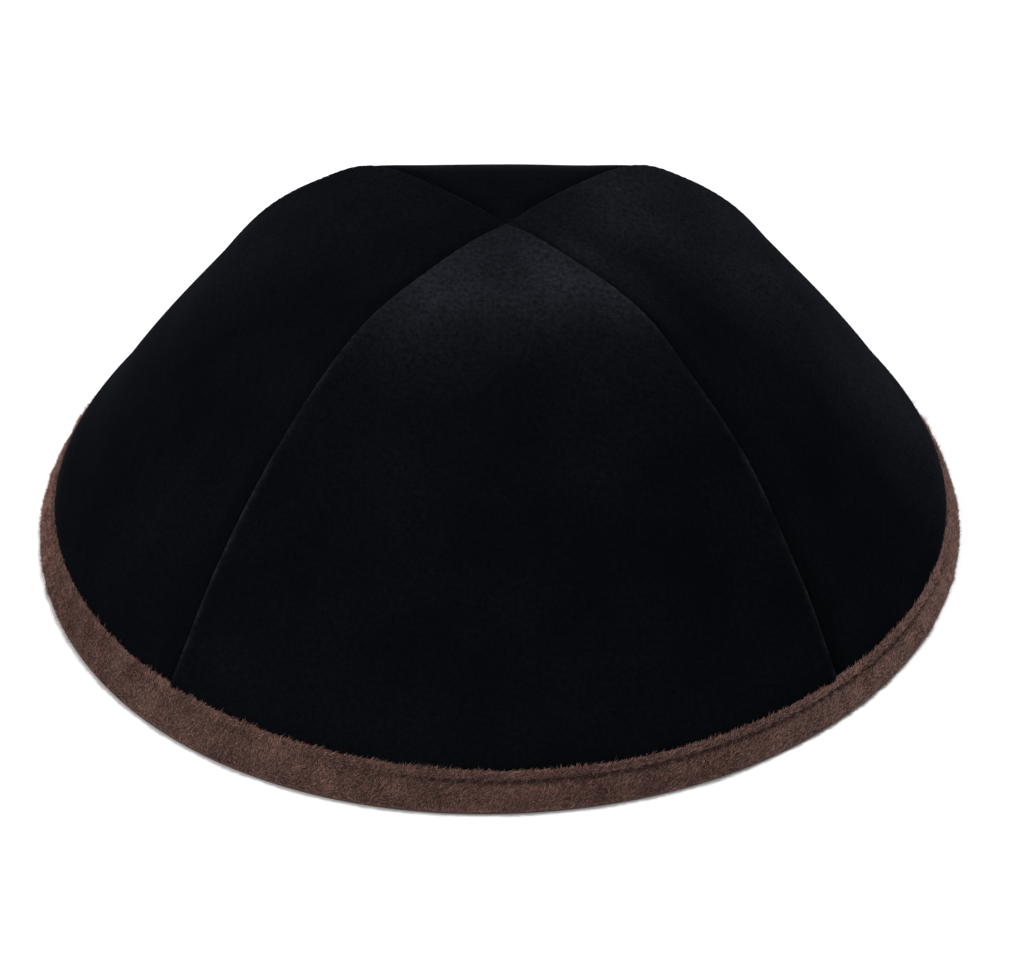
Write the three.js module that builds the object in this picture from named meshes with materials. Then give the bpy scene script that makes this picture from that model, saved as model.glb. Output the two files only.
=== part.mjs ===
// Four-panel velvet skullcap with a folded binding tape round its rim.
//
// Millimetres, +Z up. The cap rests on its rim: z = 0 is the surface that it rests on, and the
// origin is the middle of the rim. The front panel faces -Y, and the four seams run down the
// diagonals from the crown to the rim.
//
// The shape: every level ring of the cap is four arcs that meet at the four seams. At the rim the
// arcs make one round ring, and towards the crown they flatten, so the ring turns into a square
// with rounded sides. A seam's line is given as its reach from the origin at an angle above the
// surface, so 0 degrees is the rim and 90 degrees the crown.

import * as THREE from "three";

// ---- Driving dimensions ----

// One row for each ring: angle above the surface in degrees, reach from the origin to the seam in
// millimetres, and bulge, which is 1 where the ring is round and 0 where its sides are straight.
const RINGS = [
  { angle: 0, reach: 87.6, bulge: 1.0 },
  { angle: 6, reach: 83.7, bulge: 1.0 },
  { angle: 12, reach: 80.8, bulge: 0.92 },
  { angle: 24, reach: 76.4, bulge: 0.79 },
  { angle: 36, reach: 73.9, bulge: 0.66 },
  { angle: 48, reach: 72.2, bulge: 0.3 },
  { angle: 60, reach: 71.3, bulge: 0.1 },
  { angle: 75, reach: 67.9, bulge: 0.14 },
  { angle: 90, reach: 66.3, bulge: 0.08 },
];
const CROWN_ANGLE = 90;
const OVAL_SHARE = 0.03; // the rim is this share longer than round one way, and shorter the other
const OVAL_AXIS = THREE.MathUtils.degToRad(70); // the long way, from +X towards +Y

const PANEL_NAMES = ["panel_front", "panel_right", "panel_back", "panel_left"];
const QUARTER_TURN = Math.PI / 2;
const FRONT_AZIMUTH = -Math.PI / 2;

const GAP = 0.3; // between neighbouring pieces
const PANEL_WALL = 2.0; // velvet and the cloth that backs it, sewn together
const HEM_SET_IN = 0.8; // how far the pressed edge inside the binding lies below the velvet
const HEM_WALL = 1.0; // the pressed edge's thickness
const HEM_BOTTOM = 1.9; // height of the panels' lower edge
const BINDING_TOP = 8.1; // height of the binding's upper edge
const BINDING_PROUD = 0.8; // how far the binding stands out from the velvet
const TAPE = 1.1; // the binding's thickness
const FOLD_START = 1.3; // height where the outer leg starts to turn under
const FOOT_OUTER = 0.4; // the foot's edges, as depths below the velvet at the surface
const FOOT_INNER = 2.4;
const EDGE_ROUND = 0.4; // rounding of the binding's upper edges

const COLUMNS = 16; // facets across one panel
const DOME_ROWS = 14; // rows of facets between the binding and the crown
const FIRST_DOME_ANGLE = 10; // the first row clear above the binding
const SLOPE_STEP = 0.05; // how far apart two points are taken to find a direction
const HALVINGS = 40; // enough to find a height to a millionth of a millimetre

// Two heights that follow from them: the top of the pressed edge, and where the full wall starts.
const HEM_TOP = BINDING_TOP + GAP;
const DOME_BOTTOM = HEM_TOP + GAP;

// ---- The cap's surface ----

// The slope of a column of RINGS at one row, for a smooth curve through all rows.
function slopeAtRow(column, row) {
  if (row === RINGS.length - 1) {
    return 0;
  }
  const before = RINGS[Math.max(row - 1, 0)];
  const after = RINGS[row + 1];
  return (after[column] - before[column]) / (after.angle - before.angle);
}

// The value of a column of RINGS at any angle, by cubic pieces that share slopes at the rows.
function ringValue(column, angle) {
  let row = 0;
  while (row < RINGS.length - 2 && RINGS[row + 1].angle <= angle) {
    row += 1;
  }
  const low = RINGS[row];
  const high = RINGS[row + 1];
  const span = high.angle - low.angle;
  const s = (angle - low.angle) / span;
  const fromLow = (1 + 2 * s) * (1 - s) ** 2 * low[column];
  const fromHigh = s * s * (3 - 2 * s) * high[column];
  const lowSlope = s * (1 - s) ** 2 * span * slopeAtRow(column, row);
  const highSlope = s * s * (s - 1) * span * slopeAtRow(column, row + 1);
  return fromLow + fromHigh + lowSlope + highSlope;
}

// A point of one panel's velvet. across runs from -1 at its left seam to 1 at its right seam.
function velvetPoint(panel, angle, across) {
  const rise = THREE.MathUtils.degToRad(angle);
  const reach = ringValue("reach", angle);
  const seamRadius = reach * Math.cos(rise);
  const halfChord = seamRadius * Math.SQRT1_2;
  const sagitta = ringValue("bulge", angle) * (seamRadius - halfChord);
  const arcRadius = (halfChord ** 2 + sagitta ** 2) / (2 * sagitta);
  const halfArc = Math.asin(halfChord / arcRadius);
  const outward = halfChord + sagitta - arcRadius * (1 - Math.cos(halfArc * across));
  const sideways = arcRadius * Math.sin(halfArc * across);
  const azimuth = FRONT_AZIMUTH + panel * QUARTER_TURN;
  const x = outward * Math.cos(azimuth) - sideways * Math.sin(azimuth);
  const y = outward * Math.sin(azimuth) + sideways * Math.cos(azimuth);
  const lengthening = OVAL_SHARE * Math.cos(rise) ** 2;
  const stretch = 1 + lengthening * Math.cos(2 * (Math.atan2(y, x) - OVAL_AXIS));
  return new THREE.Vector3(x * stretch, y * stretch, reach * Math.sin(rise));
}

// The outward direction there. On a seam it lies in the seam's upright plane, halfway between the
// two panels, so that their walls meet without crossing.
function outwardDirection(panel, angle, across) {
  if (angle >= CROWN_ANGLE) {
    return new THREE.Vector3(0, 0, 1);
  }
  const highest = CROWN_ANGLE - SLOPE_STEP;
  const below = velvetPoint(panel, Math.max(angle - SLOPE_STEP, 0), across);
  const above = velvetPoint(panel, Math.min(angle + SLOPE_STEP, highest), across);
  const upward = above.sub(below);
  const sideways = new THREE.Vector3();
  if (Math.abs(across) === 1) {
    const seamAzimuth = FRONT_AZIMUTH + (panel + across / 2) * QUARTER_TURN;
    sideways.set(-Math.sin(seamAzimuth), Math.cos(seamAzimuth), 0);
  } else {
    const left = velvetPoint(panel, angle, across - SLOPE_STEP);
    sideways.copy(velvetPoint(panel, angle, across + SLOPE_STEP)).sub(left);
  }
  return sideways.cross(upward).normalize();
}

// A point below the velvet by depth, or above it where depth is negative.
function wallPoint(panel, angle, across, depth) {
  const direction = outwardDirection(panel, angle, across);
  return velvetPoint(panel, angle, across).addScaledVector(direction, -depth);
}

// The wall point with a given depth and height, found by halving the angle's range. Only points
// near the rim are asked for, so the range stops halfway to the crown.
function wallPointAtHeight(panel, height, across, depth) {
  let low = 0;
  let high = CROWN_ANGLE / 2;
  for (let i = 0; i < HALVINGS; i += 1) {
    const middle = (low + high) / 2;
    if (wallPoint(panel, middle, across, depth).z < height) {
      low = middle;
    } else {
      high = middle;
    }
  }
  const found = wallPoint(panel, low, across, depth);
  found.z = height;
  return found;
}

// ---- Meshes from rings of points ----

// A closed grid of points, wrapping both ways, as a list of triangles.
function wrappedGridTriangles(loops, pointsInLoop) {
  const triangles = [];
  for (let i = 0; i < loops; i += 1) {
    const next = (i + 1) % loops;
    for (let j = 0; j < pointsInLoop; j += 1) {
      const k = (j + 1) % pointsInLoop;
      const corner = i * pointsInLoop + j;
      const beside = next * pointsInLoop + j;
      const above = i * pointsInLoop + k;
      const opposite = next * pointsInLoop + k;
      triangles.push(corner, beside, opposite, corner, opposite, above);
    }
  }
  return triangles;
}

function geometryFrom(points, triangles) {
  const geometry = new THREE.BufferGeometry();
  geometry.setFromPoints(points);
  geometry.setIndex(triangles);
  geometry.computeVertexNormals();
  return geometry;
}

// ---- The panels ----

// One panel's rows from its lower edge to just under the crown, each a function that gives the
// point at a place across the panel on the velvet side or on the head side.
function panelRows(panel) {
  const rows = [];
  const hemHeights = [HEM_BOTTOM, (HEM_BOTTOM + HEM_TOP) / 2, HEM_TOP];
  for (const height of hemHeights) {
    rows.push({
      velvet: (across) => wallPointAtHeight(panel, height, across, HEM_SET_IN),
      head: (across) => wallPointAtHeight(panel, height, across, HEM_SET_IN + HEM_WALL),
    });
  }
  rows.push({
    velvet: (across) => wallPointAtHeight(panel, DOME_BOTTOM, across, 0),
    head: (across) => wallPointAtHeight(panel, DOME_BOTTOM, across, PANEL_WALL),
  });
  for (let i = 0; i < DOME_ROWS; i += 1) {
    const angle = THREE.MathUtils.lerp(FIRST_DOME_ANGLE, CROWN_ANGLE, i / DOME_ROWS);
    rows.push({
      velvet: (across) => wallPoint(panel, angle, across, 0),
      head: (across) => wallPoint(panel, angle, across, PANEL_WALL),
    });
  }
  return rows;
}

// The two skins of one panel, joined round their edges. The two top rows close on the crown.
function panelGeometry(panel) {
  const rows = panelRows(panel);
  const points = [];
  const skinRow = COLUMNS + 1;
  const velvetAt = (row, column) => row * 2 * skinRow + column;
  const headAt = (row, column) => velvetAt(row, column) + skinRow;
  for (const row of rows) {
    for (const skin of [row.velvet, row.head]) {
      for (let column = 0; column <= COLUMNS; column += 1) {
        points.push(skin((2 * column) / COLUMNS - 1));
      }
    }
  }
  const velvetCrown = points.length;
  points.push(wallPoint(panel, CROWN_ANGLE, 0, 0));
  const headCrown = points.length;
  points.push(wallPoint(panel, CROWN_ANGLE, 0, PANEL_WALL));

  const triangles = [];
  const quad = (a, b, c, d) => triangles.push(a, b, c, a, c, d);
  const last = rows.length - 1;
  for (let column = 0; column < COLUMNS; column += 1) {
    const next = column + 1;
    for (let row = 0; row < last; row += 1) {
      const up = row + 1;
      quad(velvetAt(row, column), velvetAt(row, next), velvetAt(up, next), velvetAt(up, column));
      quad(headAt(row, next), headAt(row, column), headAt(up, column), headAt(up, next));
    }
    quad(headAt(0, column), headAt(0, next), velvetAt(0, next), velvetAt(0, column));
    triangles.push(velvetAt(last, column), velvetAt(last, next), velvetCrown);
    triangles.push(headAt(last, next), headAt(last, column), headCrown);
  }
  for (let row = 0; row < last; row += 1) {
    const up = row + 1;
    quad(headAt(row, 0), velvetAt(row, 0), velvetAt(up, 0), headAt(up, 0));
    quad(velvetAt(row, COLUMNS), headAt(row, COLUMNS), headAt(up, COLUMNS), velvetAt(up, COLUMNS));
  }
  quad(headAt(last, 0), velvetAt(last, 0), velvetCrown, headCrown);
  quad(velvetAt(last, COLUMNS), headAt(last, COLUMNS), headCrown, velvetCrown);
  return geometryFrom(points, triangles);
}

// Each panel stands off the cap's axis a little, along its own middle, which opens the same gap
// to both neighbours all the way up to the crown.
function panelMesh(panel, material) {
  const mesh = new THREE.Mesh(panelGeometry(panel), material);
  const azimuth = FRONT_AZIMUTH + panel * QUARTER_TURN;
  const offset = GAP * Math.SQRT1_2;
  mesh.name = PANEL_NAMES[panel];
  mesh.position.set(offset * Math.cos(azimuth), offset * Math.sin(azimuth), 0);
  return mesh;
}

// ---- The binding ----

// The tape's folded section as heights and depths, clockwise from the outer leg's lower end when
// the outside of the cap is on the left. The panels' lower edge lies in its channel.
function bindingSection() {
  const outerFace = -BINDING_PROUD;
  const outerChannel = outerFace + TAPE;
  const innerChannel = HEM_SET_IN + HEM_WALL + GAP;
  const innerFace = innerChannel + TAPE;
  const channelFloor = HEM_BOTTOM - GAP;
  const middle = (FOLD_START + BINDING_TOP) / 2;
  return [
    { height: FOLD_START, depth: outerFace },
    { height: middle, depth: outerFace },
    { height: BINDING_TOP - EDGE_ROUND, depth: outerFace },
    { height: BINDING_TOP, depth: outerFace + EDGE_ROUND },
    { height: BINDING_TOP, depth: outerChannel },
    { height: middle, depth: outerChannel },
    { height: channelFloor, depth: outerChannel },
    { height: channelFloor, depth: innerChannel },
    { height: middle, depth: innerChannel },
    { height: BINDING_TOP, depth: innerChannel },
    { height: BINDING_TOP, depth: innerFace - EDGE_ROUND },
    { height: BINDING_TOP - EDGE_ROUND, depth: innerFace },
    { height: middle, depth: innerFace },
    { height: FOLD_START, depth: innerFace },
    { height: 0, depth: FOOT_INNER },
    { height: 0, depth: FOOT_OUTER },
  ];
}

function bindingMesh(material) {
  const section = bindingSection();
  const points = [];
  for (let panel = 0; panel < PANEL_NAMES.length; panel += 1) {
    for (let column = 0; column < COLUMNS; column += 1) {
      const across = (2 * column) / COLUMNS - 1;
      for (const { height, depth } of section) {
        points.push(wallPointAtHeight(panel, height, across, depth));
      }
    }
  }
  const loops = PANEL_NAMES.length * COLUMNS;
  const mesh = new THREE.Mesh(
    geometryFrom(points, wrappedGridTriangles(loops, section.length)),
    material,
  );
  mesh.name = "rim_binding";
  return mesh;
}

// ---- The cap ----

const velvet = new THREE.MeshStandardMaterial({ color: 0x15171c, roughness: 0.95, metalness: 0 });
const velour = new THREE.MeshStandardMaterial({ color: 0x4e3a35, roughness: 1, metalness: 0 });

const cap = new THREE.Group();
cap.name = "kippah";
for (let panel = 0; panel < PANEL_NAMES.length; panel += 1) {
  cap.add(panelMesh(panel, velvet.clone()));
}
cap.add(bindingMesh(velour));

export default cap;
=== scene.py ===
# %% [markdown]
# # A velvet skullcap with a velour binding
#
# The real cap is sewn from four pointed velvet panels. Their seams run from the crown down to the
# rim, and a folded strip of brown velour binds the rim. The CAD model already holds the cap's size
# and its plain solids. This notebook makes the cloth that the eye sees: rolled seams, pile, thread.

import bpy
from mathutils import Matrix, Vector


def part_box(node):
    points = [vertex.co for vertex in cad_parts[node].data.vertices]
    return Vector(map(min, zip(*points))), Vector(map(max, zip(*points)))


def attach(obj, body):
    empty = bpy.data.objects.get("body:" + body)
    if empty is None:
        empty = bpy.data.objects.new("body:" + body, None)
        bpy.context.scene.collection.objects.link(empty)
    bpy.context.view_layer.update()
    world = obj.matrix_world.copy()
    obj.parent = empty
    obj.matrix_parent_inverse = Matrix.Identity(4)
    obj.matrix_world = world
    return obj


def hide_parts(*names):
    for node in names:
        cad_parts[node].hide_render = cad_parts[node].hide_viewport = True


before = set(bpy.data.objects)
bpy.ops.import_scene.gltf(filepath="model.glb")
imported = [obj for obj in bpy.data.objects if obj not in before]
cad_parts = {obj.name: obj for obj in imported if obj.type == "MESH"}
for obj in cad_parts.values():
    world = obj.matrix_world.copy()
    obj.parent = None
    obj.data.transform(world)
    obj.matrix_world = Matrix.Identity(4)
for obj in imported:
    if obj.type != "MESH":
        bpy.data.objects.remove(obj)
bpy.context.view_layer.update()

import bpy
import numpy as np
from mathutils import Matrix, Vector

MM = 0.001  # shapes are worked out in millimetres, and meshes are in metres

# %% [markdown]
# ## The camera
#
# A small object seen from well back with a long lens shows little perspective, so its
# outline stays true. A camera close by with a wide lens would swell the front of the rim. The cap
# is looked down on from about 35 degrees and turned a little, and the camera is a little tilted.

# %% Place the camera
VIEW_ELEVATION = np.radians(35.04)
VIEW_TURN = np.radians(-2.33)
VIEW_TILT = np.radians(1.25)
VIEW_DISTANCE = 1.257
VIEW_WIDTH = 0.1905  # what the picture's width takes in at the cap
AIM_RIGHT, AIM_UP = 0.0023, 0.0077  # where the picture's middle lies from the middle of the rim


def view_directions(turn, elevation, tilt):
    """The camera's right, up and backward directions: backward points from the cap to the camera,
    right is level, up is square to both, and the tilt then turns right and up about backward."""
    back = Vector((np.sin(turn) * np.cos(elevation), -np.cos(turn) * np.cos(elevation), np.sin(elevation)))
    level = Vector((np.cos(turn), np.sin(turn), 0.0))
    upright = back.cross(level)
    right = level * np.cos(tilt) + upright * np.sin(tilt)
    up = upright * np.cos(tilt) - level * np.sin(tilt)
    return right, up, back


def look(place, target, up):
    """A world matrix for a camera or lamp at place that looks at target with up at the top."""
    backward = (place - target).normalized()
    right = up.cross(backward).normalized()
    matrix = Matrix((right, backward.cross(right), backward)).transposed().to_4x4()
    matrix.translation = place
    return matrix


view_right, view_up, view_back = view_directions(VIEW_TURN, VIEW_ELEVATION, VIEW_TILT)
camera = bpy.data.objects.new("camera", bpy.data.cameras.new("camera"))
bpy.context.scene.collection.objects.link(camera)
camera.data.lens = camera.data.sensor_width * VIEW_DISTANCE / VIEW_WIDTH
camera.data.clip_end = 20.0
camera.matrix_world = look(
    view_back * VIEW_DISTANCE, view_right * AIM_RIGHT + view_up * AIM_UP, view_up
)
bpy.context.scene.camera = camera
print("lens in mm:", round(camera.data.lens, 1))

# %% [markdown]
# ## The cap's surface
#
# The cap has one surface that all its pieces follow. It could be sculpted, or made by subdividing a
# cage, but a formula keeps it equal to the CAD model and lets every piece be placed on it exactly.
# A level cut through the cap is four arcs that meet at the seams. Near the rim the arcs make one
# round ring, and towards the crown they flatten, so the ring becomes a square with soft sides.

# %% Rings from the rim to the crown
# Columns: angle above the table in degrees, reach from the rim's middle to the seam in
# millimetres, and bulge, which is 1 for a round ring and 0 for straight sides.
RINGS = np.array([
    (0, 87.6, 1.00),
    (6, 83.7, 1.00),
    (12, 80.8, 0.92),
    (24, 76.4, 0.79),
    (36, 73.9, 0.66),
    (48, 72.2, 0.30),
    (60, 71.3, 0.10),
    (75, 67.9, 0.14),
    (90, 66.3, 0.08),
])
ANGLE, REACH, BULGE = 0, 1, 2
CROWN = 90.0
OVAL_SHARE = 0.03  # the rim is this share longer one way and shorter the other
OVAL_AXIS = np.radians(70)
PANELS = ("front", "right", "back", "left")
FRONT_AZIMUTH = -np.pi / 2
SMALLEST_RADIUS = 1e-6  # keeps the arc's formula whole at the crown, where the ring is a point


def smooth_step(share):
    """A share from 0 to 1 that starts and ends level: three times its square less twice its cube."""
    return share * share * (3 - 2 * share)


def ring_value(column, angle):
    """A smooth curve through one column of RINGS: between two rows it is a cubic whose slopes at
    the rows are the slopes between their neighbours, and it arrives at the crown level."""
    rows, values = RINGS[:, ANGLE], RINGS[:, column]
    slopes = np.zeros(len(rows))
    slopes[1:-1] = (values[2:] - values[:-2]) / (rows[2:] - rows[:-2])
    slopes[0] = (values[1] - values[0]) / (rows[1] - rows[0])
    low = np.clip(np.searchsorted(rows, angle, side="right") - 1, 0, len(rows) - 2)
    span = rows[low + 1] - rows[low]
    s = (angle - rows[low]) / span
    ends = (1 + 2 * s) * (1 - s) ** 2 * values[low] + s * s * (3 - 2 * s) * values[low + 1]
    bends = s * (1 - s) ** 2 * slopes[low] + s * s * (s - 1) * slopes[low + 1]
    return ends + span * bends


def arc(angle):
    """The level arc of one panel at an angle: its radius, half its opening, and how far out its
    middle lies. The chord joins two seams a quarter turn apart, and bulge sets the arc's height
    over the chord as a share of what a round ring has."""
    seam_radius = ring_value(REACH, angle) * np.cos(np.radians(angle))
    seam_radius = np.maximum(seam_radius, SMALLEST_RADIUS)
    chord = seam_radius * np.sqrt(0.5)
    height = ring_value(BULGE, angle) * (seam_radius - chord)
    radius = (chord**2 + height**2) / (2 * height)
    return radius, np.arcsin(np.clip(chord / radius, 0, 1)), chord + height


def half_width(angle):
    """The distance along the cloth from a panel's middle to its seam, in millimetres."""
    radius, opening, _ = arc(angle)
    return radius * opening


print("rings:", len(RINGS), "cap height in mm:", RINGS[-1, REACH])


# %% Points and directions on the surface
def azimuth_at(quarters):
    """The azimuth so many quarter turns on from the front."""
    return FRONT_AZIMUTH + quarters * np.pi / 2


def cap_point(panel, angle, across):
    """A point of the cap's surface. The panel is a number from 0, the front, or an array of such
    numbers, and across runs from -1 at its left seam to 1 at its right. The point lies on the
    level arc, which the slight oval then stretches."""
    radius, opening, middle = arc(angle)
    outward = middle - radius * (1 - np.cos(opening * across))
    sideways = radius * np.sin(opening * across)
    azimuth = azimuth_at(panel)
    x = outward * np.cos(azimuth) - sideways * np.sin(azimuth)
    y = outward * np.sin(azimuth) + sideways * np.cos(azimuth)
    rise = np.radians(angle)
    stretch = 1 + OVAL_SHARE * np.cos(rise) ** 2 * np.cos(2 * (np.arctan2(y, x) - OVAL_AXIS))
    z = ring_value(REACH, angle) * np.sin(rise)
    return np.stack([x * stretch, y * stretch, z + 0 * x], axis=-1)


def unit(vectors):
    """The same directions with length one."""
    return vectors / np.maximum(np.linalg.norm(vectors, axis=-1, keepdims=True), 1e-12)


SEAM_BLEND = 6.0  # millimetres beside a seam where the outward direction turns into the seam's
DIRECTION_STEP = 0.02  # in degrees up the wall, and as a share of half a panel across it


def cap_directions(panel, angle, across):
    """Sideways, upward and outward directions on the surface, from two points close together each
    way. Beside a seam, outward turns towards the seam's own upright plane, so that the walls of
    two neighbours meet along it."""
    step = DIRECTION_STEP
    angle = np.minimum(angle, CROWN - 2 * step)
    upward = cap_point(panel, angle + step, across) - cap_point(panel, angle - step, across)
    inner = np.clip(across, -1 + step, 1 - step)
    sideways = cap_point(panel, angle, inner + step) - cap_point(panel, angle, inner - step)
    free = unit(np.cross(sideways, upward))
    seam_azimuth = azimuth_at(panel + np.where(across < 0, -0.5, 0.5))
    seam_side = np.stack([-np.sin(seam_azimuth), np.cos(seam_azimuth), 0 * seam_azimuth], axis=-1)
    at_seam = unit(np.cross(seam_side + 0 * upward, upward))
    distance = (1 - np.abs(across)) * half_width(angle)
    share = smooth_step(np.clip(1 - distance / SEAM_BLEND, 0, 1)[..., None])
    return unit(sideways), unit(upward), unit(free * (1 - share) + at_seam * share)


binding_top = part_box("rim_binding")[1].z / MM
print("widest ring in mm:", round(2 * float(np.abs(cap_point(0, 0.0, np.linspace(-1, 1, 9))).max()), 1))
print("CAD binding top in mm:", round(binding_top, 2))

# %% [markdown]
# ## Putting arrays into meshes
#
# A mesh can be filled face by face, but `foreach_set` hands Blender whole arrays at once, which
# keeps tens of thousands of faces quick. Every piece here is triangles, with an optional UV map.


# %% Mesh helpers
def make_piece(name, points, triangles, uv=None, slots=None):
    """A mesh object from points in millimetres, triangles as rows of three point numbers, one UV
    pair for each point, and one material slot number for each triangle."""
    mesh = bpy.data.meshes.new(name)
    mesh.vertices.add(len(points))
    mesh.vertices.foreach_set("co", (np.asarray(points) * MM).astype(np.float32).ravel())
    mesh.loops.add(triangles.size)
    mesh.loops.foreach_set("vertex_index", triangles.astype(np.int32).ravel())
    mesh.polygons.add(len(triangles))
    mesh.polygons.foreach_set("loop_start", np.arange(0, triangles.size, 3, dtype=np.int32))
    mesh.polygons.foreach_set("use_smooth", np.ones(len(triangles), dtype=bool))
    if slots is not None:
        mesh.polygons.foreach_set("material_index", slots.astype(np.int32))
    if uv is not None:
        layer = mesh.uv_layers.new(name="cloth")
        layer.data.foreach_set("uv", uv[triangles.ravel()].astype(np.float32).ravel())
    mesh.update()
    mesh.validate()
    piece = bpy.data.objects.new(name, mesh)
    bpy.context.scene.collection.objects.link(piece)
    print(f"{name}: {len(points)} points, {len(triangles)} triangles")
    return piece


def store(piece, name, values):
    """Keep one number for each point of a piece, for its material to read."""
    layer = piece.data.attributes.new(name, "FLOAT", "POINT")
    layer.data.foreach_set("value", values.astype(np.float32))


def grid_triangles(numbers):
    """Two triangles for each cell of a grid of point numbers, facing the side from which the rows
    run up and the columns run to the right."""
    a, b = numbers[:-1, :-1], numbers[:-1, 1:]
    c, d = numbers[1:, 1:], numbers[1:, :-1]
    return np.concatenate([np.stack([a, b, c], -1).reshape(-1, 3), np.stack([a, c, d], -1).reshape(-1, 3)])


# Large odd numbers that scatter a grid corner's place and the seed over all bits, then once more.
SCATTER = (73856093, 19349663, 83492791, 2654435761)
SCATTER_AGAIN = 1274126177
LOW_32_BITS, LOW_16_BITS = 0xFFFFFFFF, 0xFFFF


def value_noise(points, size, seed):
    """Smooth random values from -1 to 1 in space: each corner of a grid of cubes gets a number by
    mixing its whole-number place, and a point takes a smooth blend of the eight round it."""
    place = points / size
    corner = np.floor(place).astype(np.int64)
    part = smooth_step(place - corner)
    total = np.zeros(points.shape[:-1])
    for dx, dy, dz in np.ndindex(2, 2, 2):
        x, y, z = (corner[..., i] + shift for i, shift in enumerate((dx, dy, dz)))
        mixed = (x * SCATTER[0]) ^ (y * SCATTER[1]) ^ (z * SCATTER[2]) ^ (seed * SCATTER[3])
        mixed = (mixed ^ (mixed >> 13)) * SCATTER_AGAIN & LOW_32_BITS
        number = ((mixed ^ (mixed >> 16)) & LOW_16_BITS) / (LOW_16_BITS / 2) - 1
        weight = np.abs(1 - dx - part[..., 0]) * np.abs(1 - dy - part[..., 1]) * np.abs(1 - dz - part[..., 2])
        total += number * weight
    return total


# %% [markdown]
# ## An uneven rim
#
# A sewn cap is never quite the shape of its pattern. A lattice modifier could push the rim about,
# but one small table of offsets moves the velvet and the tape together and is easy to change.


# %% Rim offsets
# The tape was sewn on by eye and the cap rests softly, so its rim isn't quite even. Columns:
# azimuth in degrees, how far out the foot lies, and how much higher the tape ends, both in mm.
RIM_SHAPE = np.array([
    (-180, -0.5, -1.2),
    (-160, -0.1, -0.1),
    (-135, 1.25, 0.3),
    (-112, 1.3, 0.2),
    (-90, 0.0, -0.3),
    (-65, 0.0, -0.5),
    (-45, 0.1, -0.7),
    (-22, 0.5, -1.4),
    (0, 0.0, -2.1),
    (45, -0.7, -2.2),
    (90, -0.3, -1.2),
    (135, -0.6, -1.8),
])
AZIMUTH, FOOT_OUT, TAPE_RISE = 0, 1, 2
RIM_SHAPE_HEIGHT = 9.0  # the rim's unevenness fades out upward over about this height
RIM_SMOOTHING = (-12, -6, 0, 6, 12)  # degrees to either side that are averaged
# The stitched groove starts at an azimuth and runs on for a length, and fades at both ends. Degrees.
GROOVE_START, GROOVE_FADE_IN = -105, 16
GROOVE_LENGTH, GROOVE_FADE_OUT = 150, 20


def rim_shape(azimuth, column):
    """One column of RIM_SHAPE at an azimuth in radians: straight lines between its rows, smoothed
    by averaging over a few degrees to either side."""
    degrees = np.degrees(azimuth)
    rows, values = RIM_SHAPE[:, AZIMUTH], RIM_SHAPE[:, column]
    return np.mean([np.interp(degrees + shift, rows, values, period=360) for shift in RIM_SMOOTHING], axis=0)


def groove_share(azimuth):
    """How deep the stitched groove is: 1 where the stitches show, and 0 on the left, where the pile
    has been brushed over them."""
    turned = (np.degrees(azimuth) - GROOVE_START + 180) % 360 - 180
    fades_in = np.clip(0.5 + turned / GROOVE_FADE_IN, 0, 1)
    return fades_in * np.clip((GROOVE_LENGTH - turned) / GROOVE_FADE_OUT, 0, 1)


def rim_moved(points):
    """Points moved outward by the rim's unevenness, all of it at the table and less higher up."""
    azimuth = np.arctan2(points[..., 1], points[..., 0])
    push = rim_shape(azimuth, FOOT_OUT) * np.exp(-np.maximum(points[..., 2], 0) / RIM_SHAPE_HEIGHT)
    return points + np.stack([np.cos(azimuth) * push, np.sin(azimuth) * push, 0 * push], axis=-1)


print("foot moved in mm from", RIM_SHAPE[:, FOOT_OUT].min(), "to", RIM_SHAPE[:, FOOT_OUT].max())
print("tape top moved in mm from", RIM_SHAPE[:, TAPE_RISE].min(), "to", RIM_SHAPE[:, TAPE_RISE].max())

# %% [markdown]
# ## Velvet panels
#
# Each panel is one piece of velvet. At a seam two panels are sewn face to face and turned open, so
# each edge rolls down into the seam. The spare cloth behind the seam is pressed to one side, and
# the panel on that side stands a little proud. A bump map could draw the seams, but a real roll
# catches the light along its edge from every side, so the roll is in the mesh.

# %% Seam and wall sizes, in millimetres
WALL = 2.0
HEM_WALL = 1.0  # the two cloths are pressed thin inside the binding
HEM_SET_IN = 0.8  # the pressed edge inside the binding lies this far below the velvet
HEM_START_ANGLE = 1.75
HEM_FREE_HEIGHTS = (4.5, 8.5)  # the velvet comes out of the binding between these heights
HEM_FOLLOWS = 0.8  # share of the tape's own rise or fall by which those heights move
PUFF, PUFF_HEIGHT, PUFF_SPREAD = 0.3, 10.5, 3.5  # the pinched cloth swells just above the binding
PUFF_AT_SEAM, PUFF_FREE_WIDTH = 0.45, 14.0  # less at a seam, and all of it this far away
SEAM_HALF_GAP, GAP_REACH = 0.04, 0.5
SEAM_DROP = 0.75
PROUD_ROLL, LOW_ROLL = 0.7, 1.5  # how wide each edge rolls
PROUD_RIDGE = 0.4
LOW_DIP = 0.15
RIDGE_PLACE, RIDGE_WIDTH = 1.7, 2.4
CROWN_DIMPLE, DIMPLE_HALF_WIDTH = 0.5, 5.0
SEAM_WANDER, WANDER_REACH = 0.3, 7.0  # how far a sewn line strays, and the cloth beside it with it
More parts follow.
